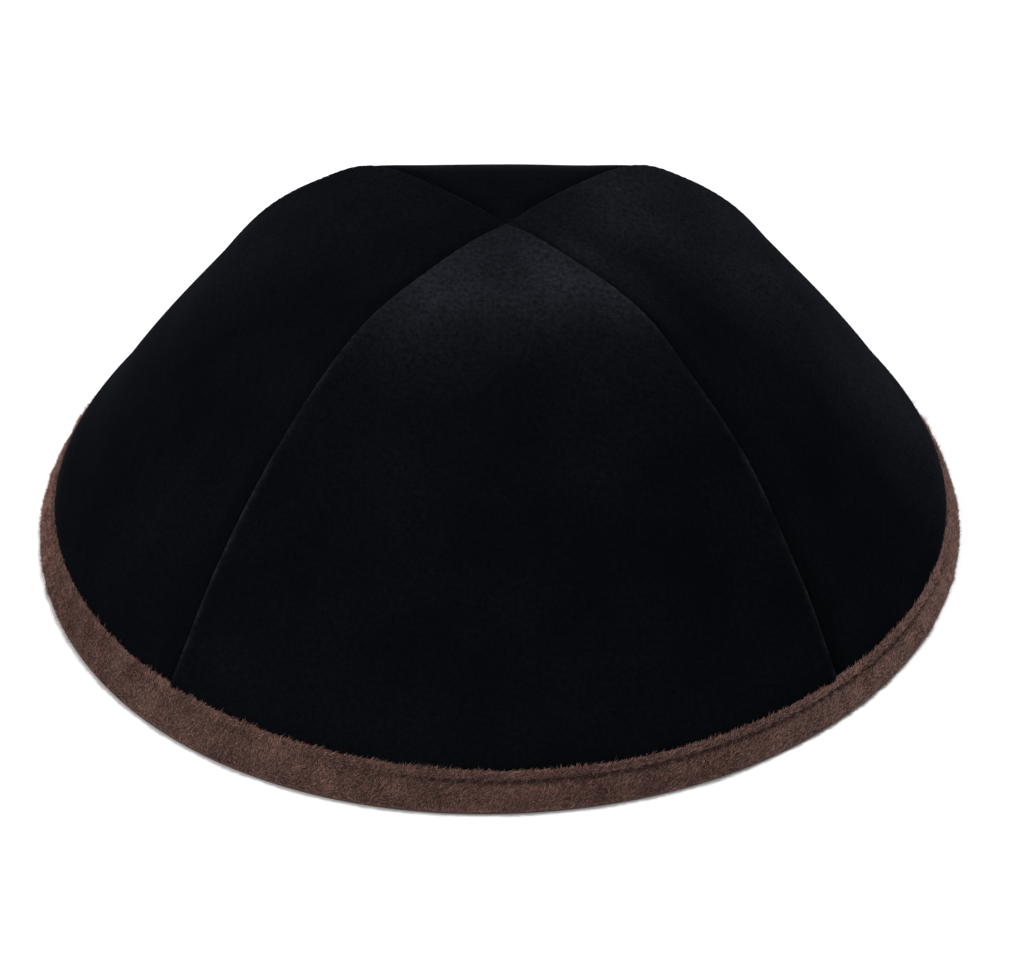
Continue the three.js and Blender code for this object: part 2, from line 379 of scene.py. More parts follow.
# Columns: share, waves for each radian up the wall, and shift from seam to seam.
WANDER_WAVES = ((0.6, 5.1, 2.3), (0.4, 12.7, 4.1))
STITCH_PUCKER, PUCKER_REACH = 0.05, 1.6
SEAM_STITCH = 2.6
BACK_LIFT, BACK_LIFT_ANGLE = 0.7, 64.0  # the back seams' spare cloth holds the shoulder up
BACK_LIFT_SPREAD, BACK_LIFT_REACH = 11.0, 9.0  # in degrees of angle, and in mm beside the seam
SOFTNESS = 0.2  # how far the cloth strays from the formula between the seams
SWELLS = ((34.0, 3, 1.0), (15.0, 5, 0.5))  # size, seed and share of each swell


def seam_wander(seam, angle):
    """How far one seam strays sideways at an angle: two slow waves that differ from seam to seam."""
    waves = [share * np.sin(np.radians(angle) * turns + seam * shift) for share, turns, shift in WANDER_WAVES]
    return SEAM_WANDER * sum(waves)


def seam_profile(distance, along, proud):
    """How far the velvet stands above the surface beside a seam: a quarter ellipse that rolls down
    to the seam, with a ridge where proud is 1 or a dip where it is 0, and a small pucker at each
    stitch."""
    width = LOW_ROLL + (PROUD_ROLL - LOW_ROLL) * proud
    rolled = 1 - np.sqrt(1 - np.clip(1 - distance / width, 0, 1) ** 2)
    swell = np.exp(-(((distance - RIDGE_PLACE) / RIDGE_WIDTH) ** 2))
    sunk = np.exp(-((distance / (2 * RIDGE_WIDTH)) ** 2))
    pucker = STITCH_PUCKER * np.cos(2 * np.pi * along / SEAM_STITCH)
    pucker = pucker * np.exp(-((distance / PUCKER_REACH) ** 2))
    lift = PROUD_RIDGE * swell * proud - LOW_DIP * sunk * (1 - proud)
    return lift - SEAM_DROP * rolled + pucker


def softness(points, angle):
    """Slow swells of the cloth, none at the binding and at the crown."""
    swell = sum(share * value_noise(points, size, seed) for size, seed, share in SWELLS)
    free = np.clip((angle - 9) / 14, 0, 1) * np.clip((CROWN - angle) / 20, 0, 1)
    return SOFTNESS * swell * free


print("wall in mm:", WALL, "and inside the binding:", HEM_WALL)

# %% The grid of a panel
EDGE_COLUMNS = np.array([0, 0.05, 0.13, 0.24, 0.38, 0.55, 0.75, 1.0, 1.3, 1.7, 2.2, 2.9, 3.8])
MIDDLE_COLUMNS = 34  # columns from the last edge column to the panel's middle
HEM_ROWS, DOME_ROWS = 14, 96
DOME_START_ANGLE = 8.0
CROWN_MARGIN = 0.35  # degrees that the last row stays below the crown


def panel_grid():
    """Angles of the rows, and for each row the columns as distances across from -1 to 1. Near the
    seams the columns lie at fixed distances, squeezed where the panel narrows to its tip, and the
    rest share the middle evenly."""
    hem = np.linspace(HEM_START_ANGLE, DOME_START_ANGLE, HEM_ROWS, endpoint=False)
    turn = np.linspace(0, 1, DOME_ROWS)
    dome = DOME_START_ANGLE + (CROWN - CROWN_MARGIN - DOME_START_ANGLE) * turn
    angles = np.concatenate([hem, dome])
    half = half_width(angles)[:, None]
    squeeze = np.minimum(1, 0.5 * half / EDGE_COLUMNS[-1])
    edge = EDGE_COLUMNS * squeeze
    share = np.linspace(0, 1, MIDDLE_COLUMNS + 1)[1:]
    middle = edge[:, -1:] + (half - edge[:, -1:]) * share
    left = -1 + np.concatenate([edge, middle], axis=1) / half
    return angles, np.concatenate([left, -left[:, -2::-1]], axis=1)


print("rows and columns of a panel:", panel_grid()[1].shape)

# %% [markdown]
# ## Painted light on the velvet
#
# The velvet's colour is painted lighter where light falls on it: a painted highlight on the crown's
# shoulder, painted sheen over one half of some panels and a painted highlight along each proud seam,
# with painted shade beside the low ones. An image could be painted for this, but one number at each
# point of the mesh follows the cloth, needs no file, and the material can read it as an attribute.

# %% Where light and shade are painted on the velvet
# For each panel, how proud it stands at its left and at its right seam, how strong the painted highlight
# is on the crown's shoulder, and how strong the painted sheen is over its left and its right half.
PROUD_SIDES = {"front": (1, 1), "right": (0, 1), "back": (0, 0), "left": (1, 0)}
CROWN_PAINTED_HIGHLIGHT = {"front": 0.88, "right": 0.27, "back": 0.0, "left": 0.03}
SIDE_PAINTED_SHEEN = {"front": (0.0, 0.0), "right": (0.0, 0.46), "back": (0.0, 0.0), "left": (0.12, 0.0)}
PAINTED_HIGHLIGHT_ANGLE = 70.0
PAINTED_HIGHLIGHT_SPREADS = (12.0, 24.0)  # how fast the painted highlight ends towards the rim and towards the crown
EDGE_PAINTED_HIGHLIGHT, EDGE_PAINTED_HIGHLIGHT_WIDTH = 1.5, 0.9  # painted highlight along the fold of a proud edge
LOW_SIDE_PAINTED_SHADE, LOW_SIDE_PAINTED_SHADE_WIDTH = 0.25, 2.4  # painted shade beside it on the low side
PLAIN_NAP = 0.05  # open everywhere
# Painted highlights in small spots: panel, angle, place across, reach in degrees of angle, strength.
PAINTED_HIGHLIGHT_SPOTS = (
    ("front", 72.0, 0.5, 7.0, 0.35),
    ("right", 75.0, -0.75, 5.0, 0.35),
    ("front", 60.0, -0.5, 7.0, 0.2),
)
PAINTED_HIGHLIGHT_SPOTS_WIDTH = 0.3  # reach of such a place across, as a share of half the panel
BRIGHTEST_TONE = 2  # a painted highlight along an edge may be twice as light as a tone of 1


def nap_and_painted_light(name, angle, across, points):
    """How light the velvet's colour is made: 0 for its plain dark, 1 for fully lit, and up to twice that
    along an edge. Most of it is painted light: a painted highlight on the crown's shoulder, by a share
    of its own for each panel, painted highlights in the listed spots and along the folded edge of a
    proud seam, painted shade beside a low seam, and painted sheen over one half of some panels. A
    little comes from uneven patches in the cloth's own tone."""
    # Painted highlight on the crown's shoulder, by a share of its own for each panel.
    spread = np.where(angle < PAINTED_HIGHLIGHT_ANGLE, *PAINTED_HIGHLIGHT_SPREADS)
    shoulder = CROWN_PAINTED_HIGHLIGHT[name] * np.exp(-(((angle - PAINTED_HIGHLIGHT_ANGLE) / spread) ** 2))
    # Painted highlights in the listed spots.
    for panel, spot_angle, spot_across, reach, strength in PAINTED_HIGHLIGHT_SPOTS:
        away = ((angle - spot_angle) / reach) ** 2 + ((across - spot_across) / PAINTED_HIGHLIGHT_SPOTS_WIDTH) ** 2
        shoulder = shoulder + strength * (panel == name) * np.exp(-away)
    # Painted sheen over one half of a panel, towards its outline.
    to_right = np.clip((across + 0.35) / 0.5, 0, 1)
    painted_sheen = SIDE_PAINTED_SHEEN[name][0] * (1 - to_right) + SIDE_PAINTED_SHEEN[name][1] * to_right
    painted_sheen = painted_sheen * np.clip((80 - angle) / 20, 0, 1)
    # Painted highlight along the fold of a proud seam, uneven and weaker near the crown, and painted shade
    # beside a low seam.
    distance = (1 - np.abs(across)) * half_width(angle)
    proud = np.where(across > 0, PROUD_SIDES[name][1], PROUD_SIDES[name][0])
    edge_highlight_strength = np.clip(0.6 + 0.7 * value_noise(points, 2.4, seed=52), 0.1, 1.3)
    edge_highlight_strength = edge_highlight_strength * (0.35 + 0.65 * np.clip((PAINTED_HIGHLIGHT_ANGLE - angle) / 40, 0, 1))  # less so near the crown
    edge = EDGE_PAINTED_HIGHLIGHT * edge_highlight_strength * proud * np.exp(-((distance / EDGE_PAINTED_HIGHLIGHT_WIDTH) ** 2))
    edge = edge - LOW_SIDE_PAINTED_SHADE * (1 - proud) * np.exp(-((distance / LOW_SIDE_PAINTED_SHADE_WIDTH) ** 2))
    edge = edge * np.clip((89 - angle) / 8, 0, 1)
    patches = value_noise(points, 17.0, seed=50) + 0.6 * value_noise(points, 7.0, seed=51)
    tone = (shoulder + painted_sheen) * (1 + 0.3 * patches) + edge + PLAIN_NAP * patches + PLAIN_NAP
    return np.clip(tone, 0, BRIGHTEST_TONE)


# The painted highlight on each panel's shoulder.
print("open on the crown's shoulder:", CROWN_PAINTED_HIGHLIGHT)


# %% Both skins of a panel
def panel_skins(panel, proud_sides):
    """The outer and inner skins of one panel as grids of points, and its UV map: millimetres across
    and along the cloth, from the rim."""
    angles, across = panel_grid()
    angle = np.broadcast_to(angles[:, None], across.shape)
    surface = cap_point(panel, angle, across)
    sideways, _, outward = cap_directions(panel, angle, across)
    half = half_width(angle)
    distance = (1 - np.abs(across)) * half
    right_side = across > 0
    seam = np.where(right_side, panel, (panel - 1) % 4)
    spine = np.linalg.norm(np.diff(surface[:, surface.shape[1] // 2], axis=0), axis=-1)
    along = np.concatenate([[0], np.cumsum(spine)])[:, None] + 0 * across

    # Close to the crown all four panels sink to one small dimple.
    tip = smooth_step(np.clip(half / DIMPLE_HALF_WIDTH, 0, 1))
    turn_over = smooth_step(np.clip(across / 0.8 + 0.5, 0, 1))
    proud = proud_sides[0] + (proud_sides[1] - proud_sides[0]) * turn_over
    rise = seam_profile(distance, along, proud) * tip - CROWN_DIMPLE * (1 - tip)
    near_shoulder = ((angle - BACK_LIFT_ANGLE) / BACK_LIFT_SPREAD) ** 2
    shoulder = np.exp(-near_shoulder - (distance / BACK_LIFT_REACH) ** 2)
    back_seams = (1, 2)
    rise = rise + BACK_LIFT * shoulder * np.isin(seam, back_seams)
    # Where the tape is narrow the velvet comes out of it lower down.
    azimuth = np.arctan2(surface[..., 1], surface[..., 0])
    over_tape = surface[..., 2] - HEM_FOLLOWS * rim_shape(azimuth, TAPE_RISE)
    free = smooth_step(np.clip((over_tape - HEM_FREE_HEIGHTS[0]) / np.ptp(HEM_FREE_HEIGHTS), 0, 1))
    puff = PUFF * np.exp(-(((over_tape - PUFF_HEIGHT) / PUFF_SPREAD) ** 2))
    puff = puff * (PUFF_AT_SEAM + (1 - PUFF_AT_SEAM) * np.clip(distance / PUFF_FREE_WIDTH, 0, 1))
    rise = (rise + puff) * free
    rise = rise - HEM_SET_IN * (1 - free)
    drift = seam_wander(seam, angle) * np.exp(-distance / WANDER_REACH) * tip * free
    gap = SEAM_HALF_GAP * np.exp(-distance / GAP_REACH) * np.where(right_side, -1, 1)
    moved = surface + outward * softness(surface, angle)[..., None] + sideways * (drift + gap)[..., None]
    depth = HEM_SET_IN + HEM_WALL + (WALL - HEM_SET_IN - HEM_WALL) * free
    outer = rim_moved(moved + outward * rise[..., None])
    inner = rim_moved(moved - outward * depth[..., None])
    uv = np.stack([across * half, along], axis=-1) * MM
    return outer, inner, uv


# %% Close each panel
TIP_DROP = 0.02  # how far the point at the crown lies below the last row


def panel_piece(panel, name):
    """A closed panel: two skins joined along the hem and both seams, with each skin's tip closed by
    a fan to one point at the crown."""
    outer, inner, uv = panel_skins(panel, PROUD_SIDES[PANELS[panel]])
    rows, columns = outer.shape[:2]
    count = rows * columns
    outside = np.arange(count).reshape(rows, columns)
    inside = outside + count
    azimuth = azimuth_at(panel)
    tip = np.array([np.cos(azimuth), np.sin(azimuth), 0]) * SEAM_HALF_GAP * 2
    outer_tip = tip + [0, 0, outer[-1, :, 2].mean() - TIP_DROP]
    inner_tip = tip + [0, 0, RINGS[-1, REACH] - WALL]
    points = np.concatenate([outer.reshape(-1, 3), inner.reshape(-1, 3), [outer_tip], [inner_tip]])
    uv_points = np.concatenate([uv.reshape(-1, 2)] * 2 + [[[0, uv[-1, 0, 1]]]] * 2)
    outer_fan = np.stack([outside[-1, :-1], outside[-1, 1:], np.full(columns - 1, 2 * count)], -1)
    inner_fan = np.stack([inside[-1, 1:], inside[-1, :-1], np.full(columns - 1, 2 * count + 1)], -1)
    seam_tips = np.array([
        (inside[-1, 0], outside[-1, 0], 2 * count), (inside[-1, 0], 2 * count, 2 * count + 1),
        (outside[-1, -1], inside[-1, -1], 2 * count + 1), (outside[-1, -1], 2 * count + 1, 2 * count),
    ])
    velvet_side = np.concatenate([grid_triangles(outside), outer_fan])
    edges = [
        grid_triangles(np.stack([inside[0], outside[0]])),
        grid_triangles(np.stack([inside[:, 0], outside[:, 0]], axis=1)),
        grid_triangles(np.stack([outside[:, -1], inside[:, -1]], axis=1)),
        seam_tips,
    ]
    head_side = np.concatenate([grid_triangles(inside[:, ::-1]), inner_fan])
    triangles = np.concatenate([velvet_side, *edges, head_side])
    slots = np.zeros(len(triangles), dtype=int)
    slots[-len(head_side):] = 1
    piece = make_piece(name, points, triangles, uv_points, slots)
    angles, across = panel_grid()
    # Painted light and shade, with the cloth's own uneven tone, for the velvet's colour to read.
    tone = nap_and_painted_light(PANELS[panel], angles[:, None] + 0 * across, across, outer).ravel()
    store(piece, "nap_and_painted_light", np.concatenate([tone, tone, [tone[-1]] * 2]))
    return piece


panel_pieces = {name: panel_piece(number, f"velvet_{name}") for number, name in enumerate(PANELS)}

# %% [markdown]
# ## The binding tape
#
# The binding is a strip of velour folded over the panels' raw edge and sewn through. In cross
# section it is a U: an outer leg, a fold that the cap rests on, and an inner leg. The line of
# stitches pulls both legs into a groove near their upper edge. Here the section is carried round
# the rim, point by point, on the cap's own surface. An extruded curve would be quicker to make,
# but it couldn't lean with the wall all the way round.

# %% Cross-section of the tape
PILE_ABOVE_TAPE = 0.75  # the pile fills the rest of the binding's height
TAPE_TOP = binding_top - PILE_ABOVE_TAPE
STITCH_HEIGHT = 5.6
# Columns: height above the table and depth below the velvet, in millimetres, clockwise from the
# foot when the outside of the cap is on the left.
TAPE_SECTION = np.array([
    (0.0, 0.85), (0.35, 0.20), (1.3, -0.10), (2.9, -0.14), (4.5, -0.05),
    (STITCH_HEIGHT, 0.25), (6.3, -0.05), (6.9, -0.12), (TAPE_TOP, 0.1), (7.2, 0.42),
    (6.4, 0.50), (4.8, 0.50), (2.4, 0.52), (1.7, 1.0), (2.0, 1.96), (4.8, 2.04), (6.4, 2.06),
    (7.2, 2.30), (TAPE_TOP, 2.70), (6.8, 3.00), (STITCH_HEIGHT, 2.70), (4.3, 3.00),
    (2.2, 3.00), (0.6, 2.80), (0.0, 2.20),
])
SECTION_STEPS = 3  # points of the mesh between two points of the table
RIM_COLUMNS = 200  # round one quarter of the rim
DEGREE_HEIGHT = 1.45  # how much higher one more degree of angle reaches near the rim
TABLE_CLEARANCE = 0.02
GROOVE_FILL, GROOVE_HALF_WIDTH = 0.25, 0.7


def closed_curve(knots, steps):
    """A smooth closed curve through knots: each stretch is a cubic that leaves and arrives along
    the line between the neighbours."""
    before, after = np.roll(knots, 1, axis=0), np.roll(knots, -1, axis=0)
    beyond = np.roll(knots, -2, axis=0)
    s = (np.arange(steps) / steps)[None, :, None]
    start, end = knots[:, None], after[:, None]
    leave, arrive = (after - before)[:, None] / 2, (beyond - knots)[:, None] / 2
    curve = (1 + 2 * s) * (1 - s) ** 2 * start + s * s * (3 - 2 * s) * end
    curve = curve + s * (1 - s) ** 2 * leave + s * s * (s - 1) * arrive
    return curve.reshape(-1, knots.shape[1])


def point_at_height(panel, across, height, depth):
    """The point at a height and depth in the wall. A few corrections of the angle find it, each by
    the height that is still missing over the height that one degree gives."""
    angle = height / DEGREE_HEIGHT + 0 * across
    for _ in range(8):
        point = cap_point(panel, angle, across)
        point = point - cap_directions(panel, angle, across)[2] * np.asarray(depth)[..., None]
        angle = angle + (height - point[..., 2]) / DEGREE_HEIGHT
    return point


def rim_places(columns):
    """Panel number and place across for points evenly spaced round the rim."""
    place = np.arange(columns * 4) / columns
    return np.floor(place), 2 * (place % 1) - 1


# %% Carry the section round the rim
section = closed_curve(TAPE_SECTION, SECTION_STEPS)
section[:, 0] = np.maximum(section[:, 0], TABLE_CLEARANCE)
section_height, section_depth = section.T
MIDDLE_DEPTH = 1.2  # halfway between the tape's two legs
rim_panel, rim_across = rim_places(RIM_COLUMNS)
rim_azimuth = azimuth_at(rim_panel + rim_across / 2)
upper_part = np.clip(section_height / TAPE_TOP, 0, 1)
swing = rim_shape(rim_azimuth, TAPE_RISE)
in_groove = np.exp(-(((section_height - STITCH_HEIGHT) / GROOVE_HALF_WIDTH) ** 2))
in_groove = in_groove * (section_depth < MIDDLE_DEPTH)
filled = GROOVE_FILL * (1 - groove_share(rim_azimuth))[:, None] * in_groove[None, :]
tape_points = point_at_height(
    rim_panel[:, None] + 0 * section_height,
    rim_across[:, None] + 0 * section_height,
    section_height + swing[:, None] * upper_part,
    section_depth - filled,
)
tape_points = rim_moved(tape_points)
print("tape grid:", tape_points.shape)

# %% The tape's mesh
TAPE_LUMP = 0.10  # unevenness of the cloth
STITCH_PITCH = 2.5
STITCH_PULL, PULL_HALF_WIDTH = 0.10, 0.8
LENGTH_ROW = 8  # the row of the section, low on the outer face, that the rim is measured along
FACE_DISTANCE = 1.3  # the outer face's swells and the inner face lie further from the middle


def grid_directions(points):
    """Directions round the rim, up the section and outward at every point of a grid that closes
    both ways, from the points on either side."""
    round_rim = np.roll(points, -1, axis=0) - np.roll(points, 1, axis=0)
    up_section = np.roll(points, -1, axis=1) - np.roll(points, 1, axis=1)
    return unit(round_rim), unit(up_section), unit(np.cross(round_rim, up_section))


def closed_numbers(shape):
    """Point numbers of a grid that closes both ways, with its first row and column repeated."""
    numbers = np.arange(shape[0] * shape[1]).reshape(shape[:2])
    numbers = np.concatenate([numbers, numbers[:1]], axis=0)
    return np.concatenate([numbers, numbers[:, :1]], axis=1)


tape_round, tape_up, tape_out = grid_directions(tape_points)
rim_length = np.linalg.norm(np.diff(tape_points[:, LENGTH_ROW], axis=0), axis=-1).sum()
stitch_count = int(round(rim_length / STITCH_PITCH))
stitch_phase = np.arange(len(tape_points)) / len(tape_points) * stitch_count * 2 * np.pi
on_face = np.abs(section_depth - MIDDLE_DEPTH) > FACE_DISTANCE
near_stitch = np.exp(-(((section_height - STITCH_HEIGHT) / PULL_HALF_WIDTH) ** 2)) * on_face
pull = STITCH_PULL * np.cos(stitch_phase)[:, None] * near_stitch
free_of_table = np.clip(section_height, 0, 1) * on_face
lump = TAPE_LUMP * (value_noise(tape_points, 2.2, seed=11) + 0.6 * value_noise(tape_points, 0.9, seed=12))
tape_surface = tape_points + tape_out * (pull + lump * free_of_table)[..., None]
tape_numbers = closed_numbers(tape_surface.shape).T
tape = make_piece("binding_tape", tape_surface.reshape(-1, 3), grid_triangles(tape_numbers))
print("rim length in mm:", round(float(rim_length), 1), "stitches:", stitch_count)

# %% [markdown]
# ## Stitches in the binding
#
# A lockstitch shows as short threads that rise out of the tape and dive back in, one for each step
# of the needle. A dashed texture would look printed on. Each stitch here is a small closed tube
# with pointed ends, and all of them are one mesh, so they stay light.

# %% Stitches on both faces of the tape
THREAD_RADIUS = 0.22
STITCH_SHARE = 0.74  # of the pitch that a stitch covers
STITCH_RINGS, STITCH_SIDES = 9, 6
OUTER_STITCH_DEPTH, INNER_STITCH_DEPTH = 0.14, 2.75
STITCH_SLANT = 0.16  # half of how much a stitch climbs from its start to its end
STITCH_COVER = 0.3  # how far the outer stitches sink where the pile is brushed over them


def stitch_line(azimuth):
    """The height of the line of stitches, which follows the tape's own rise and fall."""
    return STITCH_HEIGHT * (1 + rim_shape(azimuth, TAPE_RISE) / TAPE_TOP)


def tube_grid(path, side, outward, radius):
    """Points round a path: at each path point a ring in the plane of two directions."""
    turn = np.arange(STITCH_SIDES) * 2 * np.pi / STITCH_SIDES
    ring = np.cos(turn)[:, None] * side[..., None, :] + np.sin(turn)[:, None] * outward[..., None, :]
    return path[..., None, :] + ring * radius[..., None, None]


def stitch_row(name, depth, facing):
    """A row of stitches round the rim. Along a stitch the thread rises as a half circle stretched
    flat, and its radius shrinks towards both ends."""
    s = np.linspace(-1, 1, STITCH_RINGS)
    place = (np.arange(stitch_count)[:, None] + 0.5 + 0.5 * STITCH_SHARE * s) / stitch_count * 4
    panel, across = np.floor(place) % 4, 2 * (place % 1) - 1
    hump = facing * (0.32 * np.sqrt(1.02 - s**2) - 0.26)
    azimuth = azimuth_at(panel + across / 2)
    height = stitch_line(azimuth) + STITCH_SLANT * s
    covered = STITCH_COVER * (1 - groove_share(azimuth)) * (facing > 0)
    path = rim_moved(point_at_height(panel, across, height, depth + covered - hump))
    angle = np.full(across.shape, STITCH_HEIGHT / DEGREE_HEIGHT)
    _, upward, outward = cap_directions(panel, angle, across)
    radius = np.broadcast_to(THREAD_RADIUS * np.sqrt(1.03 - s**2), across.shape)
    rings = tube_grid(path, upward, outward, radius)
    numbers = np.arange(stitch_count * STITCH_RINGS * STITCH_SIDES).reshape(rings.shape[:3])
    a, b = numbers[:, :-1], numbers[:, 1:]
    c, d = np.roll(b, -1, axis=2), np.roll(a, -1, axis=2)
    walls = np.concatenate([np.stack([a, c, b], -1).reshape(-1, 3), np.stack([a, d, c], -1).reshape(-1, 3)])
    fan = np.arange(1, STITCH_SIDES - 1)
    first, last = numbers[:, 0], numbers[:, -1]
    start = np.stack([first[:, :1] + 0 * fan, first[:, fan + 1], first[:, fan]], -1).reshape(-1, 3)
    end = np.stack([last[:, :1] + 0 * fan, last[:, fan], last[:, fan + 1]], -1).reshape(-1, 3)
    return make_piece(name, rings.reshape(-1, 3), np.concatenate([walls, start, end]))


outer_stitches = stitch_row("binding_stitches_outside", OUTER_STITCH_DEPTH, 1)
inner_stitches = stitch_row("binding_stitches_inside", INNER_STITCH_DEPTH, -1)

# %% [markdown]
# ## Velour pile
#
# Velour has a brushed pile that stands off the cloth in small leaning tufts, and some hairs reach
# over the tape's upper edge onto the velvet. A particle system could grow them, but it would come
# out anew in each version of Blender. Here every tuft is a long thin pyramid of four faces, placed
# by a seeded generator, so the pile is always the same. A real hair is near 0.02 mm wide and too
# fine to draw one by one, so a tuft stands for a small bunch of hairs and is made wider.

# %% Scatter places on the tape
TUFTS = 34000  # on each quarter of the outer face
INNER_TUFTS = 14000
TUFT_WIDTH = 0.125
TUFT_LENGTH = (0.4, 1.15)
LONG_SHARE, LONG_EXTRA = 0.10, 0.6  # stray tufts at the upper edge, and how much longer they are
PAINTED_LIGHT_SIDE = (-175.0, 32.0)  # azimuth and spread of the painted light on one side of the binding, in degrees
LEAN = (0.62, 0.55, 0.38)  # how much a tuft points up the wall, round the rim and outward
LEAN_SWAY, LEAN_SPREAD, LEAST_OUTWARD = 0.45, 0.25, 0.12
ROOT_DEPTH = 0.05  # how far a tuft's base is set into the tape


def scatter(generator, first, last, rows, count):
    """Random places on part of the tape: grid cells are drawn in proportion to their area, and a
    place in a cell blends its corners. Returns points and the three directions there."""
    columns = np.arange(first, last)
    grid = tape_surface[np.ix_(columns, rows)]
    beside = tape_surface[np.ix_((columns + 1) % len(tape_surface), rows)]
    above = tape_surface[np.ix_(columns, (rows + 1) % len(section))]
    area = np.linalg.norm(np.cross(beside - grid, above - grid), axis=-1).ravel()
    cell = generator.choice(area.size, size=count, p=area / area.sum())
    column, row = columns[cell // len(rows)], rows[cell % len(rows)]
    u, v = generator.random((2, count, 1))

    def blend(values):
        next_column, next_row = (column + 1) % len(values), (row + 1) % len(section)
        low = values[column, row] * (1 - u) + values[next_column, row] * u
        high = values[column, next_row] * (1 - u) + values[next_column, next_row] * u
        return low * (1 - v) + high * v

    return blend(tape_surface), unit(blend(tape_round)), unit(blend(tape_up)), unit(blend(tape_out))


# %% Grow the pile
def pile_piece(name, seed, first, last, rows, count, wall_up):
    """Tufts as thin pyramids. Each leans by LEAN, and noise a few millimetres wide sways whole
    clumps together. In the stitched groove they are pressed short and painted darker as shade, and
    on the binding's left side they are painted lighter as light. wall_up is 1 where the section runs
    up the wall, and -1 where it runs down."""
    generator = np.random.default_rng(seed)
    root, around, up, out = scatter(generator, first, last, rows, count)
    sway = np.stack([
        value_noise(root, 3.2, seed=20 + i) + 0.6 * value_noise(root, 1.1, seed=30 + i) for i in range(3)
    ], axis=-1)
    lean = np.array(LEAN) + LEAN_SWAY * sway + generator.normal(0, LEAN_SPREAD, (count, 3))
    lean[:, 2] = np.maximum(lean[:, 2], LEAST_OUTWARD)
    direction = unit(up * lean[:, :1] * wall_up + around * lean[:, 1:2] + out * lean[:, 2:])
    azimuth = np.arctan2(root[:, 1], root[:, 0])
    stitch_z = stitch_line(azimuth)
    stray = (generator.random(count) < LONG_SHARE) & (root[:, 2] > stitch_z + 0.3)
    length = generator.uniform(*TUFT_LENGTH, (count, 1)) + LONG_EXTRA * stray[:, None]
    groove = np.exp(-(((root[:, 2] - stitch_z + 0.45) / 0.5) ** 2)) * groove_share(azimuth)
    length = length * (1 + 0.25 * value_noise(root, 2.0, seed=41)[:, None]) * (1 - 0.3 * groove[:, None])
    side = unit(np.cross(direction, out))
    front = np.cross(direction, side)
    tip = root + direction * length
    tip[:, 2] = np.maximum(tip[:, 2], TABLE_CLEARANCE)
    turn = np.array([0.5, 0.5 + 2 / 3, 0.5 + 4 / 3]) * np.pi
    base = root - out * ROOT_DEPTH
    ring = base[:, None] + TUFT_WIDTH / np.sqrt(3) * (
        np.cos(turn)[None, :, None] * side[:, None] + np.sin(turn)[None, :, None] * front[:, None]
    )
    ring[..., 2] = np.maximum(ring[..., 2], TABLE_CLEARANCE / 2)
    points = np.concatenate([ring, tip[:, None]], axis=1).reshape(-1, 3)
    faces = np.array([(0, 2, 1), (0, 1, 3), (1, 2, 3), (2, 0, 3)])
    triangles = (np.arange(count)[:, None, None] * 4 + faces[None]).reshape(-1, 3)
    piece = make_piece(name, points, triangles)
    clump_and_painted_light = 0.08 * value_noise(root, 2.6, seed=60) + 0.08 * value_noise(root, 9.0, seed=61)
    light_azimuth, light_spread = PAINTED_LIGHT_SIDE
    turned = np.abs((np.degrees(azimuth) - light_azimuth + 180) % 360 - 180)
    # Painted light on the binding's left side, and painted shade in the stitched groove.
    clump_and_painted_light = clump_and_painted_light + 0.16 * np.exp(-((turned / light_spread) ** 2)) - 0.16 * groove
    tone = np.repeat(np.clip(generator.random(count) ** 1.3 + clump_and_painted_light, 0, 1), 4)
    store(piece, "tuft_tone", tone)
    return piece


# Rows of the section: on the outside from just above the table to the top of the tape and a little
# over it, and on the inside from the top down to the fold.
outer_rows = np.arange(4, 9 * SECTION_STEPS)
inner_rows = np.arange(17 * SECTION_STEPS, 24 * SECTION_STEPS)
quarter = len(tape_surface) // len(PANELS)
pile_pieces = [
    pile_piece(f"binding_pile_{name}", 100 + k, k * quarter, (k + 1) * quarter, outer_rows, TUFTS, 1)
    for k, name in enumerate(PANELS)
]
inner_pile = pile_piece("binding_pile_inside", 200, 0, len(tape_surface), inner_rows, INNER_TUFTS, -1)

# %% [markdown]
# ## Materials
#
# Every finish starts from the real material. Node setups can be built by hand in the shader editor,
# but a short helper that adds one node with its settings and links keeps them readable here.
# Patterns read object coordinates in metres, so their scales come from real sizes.


# %% Material helpers
def linear(hex_colour):
    """The linear colour of an sRGB hex value: a channel is divided by 12.92 in the darkest part,
    and elsewhere shifted, scaled and raised to 2.4."""
    channels = np.array([int(hex_colour[i : i + 2], 16) / 255 for i in (1, 3, 5)])
    low, high = channels / 12.92, ((channels + 0.055) / 1.055) ** 2.4
    return (*np.where(channels <= 0.04045, low, high).tolist(), 1.0)


def add_node(tree, kind, inputs=None, **settings):
    """Add a node: settings go on the node, and each input takes a value or a link from a socket."""
    made = tree.nodes.new(kind)
    for name, value in settings.items():
        setattr(made, name, value)
    for name, value in (inputs or {}).items():
        if isinstance(value, bpy.types.NodeSocket):
            tree.links.new(value, made.inputs[name])
        else:
            made.inputs[name].default_value = value
    return made


def new_material(name):
    """An empty material and its node tree."""
    material = bpy.data.materials.new(name)
    material.use_nodes = True
    material.node_tree.nodes.clear()
    return material, material.node_tree


def noise(tree, millimetres, detail, roughness):
    """A noise on object coordinates that repeats about once in so many millimetres."""
    place = add_node(tree, "ShaderNodeTexCoord").outputs["Object"]
    return add_node(tree, "ShaderNodeTexNoise", {
        "Vector": place, "Scale": 1000.0 / millimetres, "Detail": detail, "Roughness": roughness,
    }).outputs["Fac"]


def mix_colours(tree, factor, dark, light, clamp=True):
    """A colour between dark and light. A Mix node has a Result for each kind of data, and its
    colour is output 2."""
    return add_node(tree, "ShaderNodeMix", {
        "Factor": factor, "A": linear(dark), "B": linear(light),
    }, data_type="RGBA", clamp_factor=clamp).outputs[2]


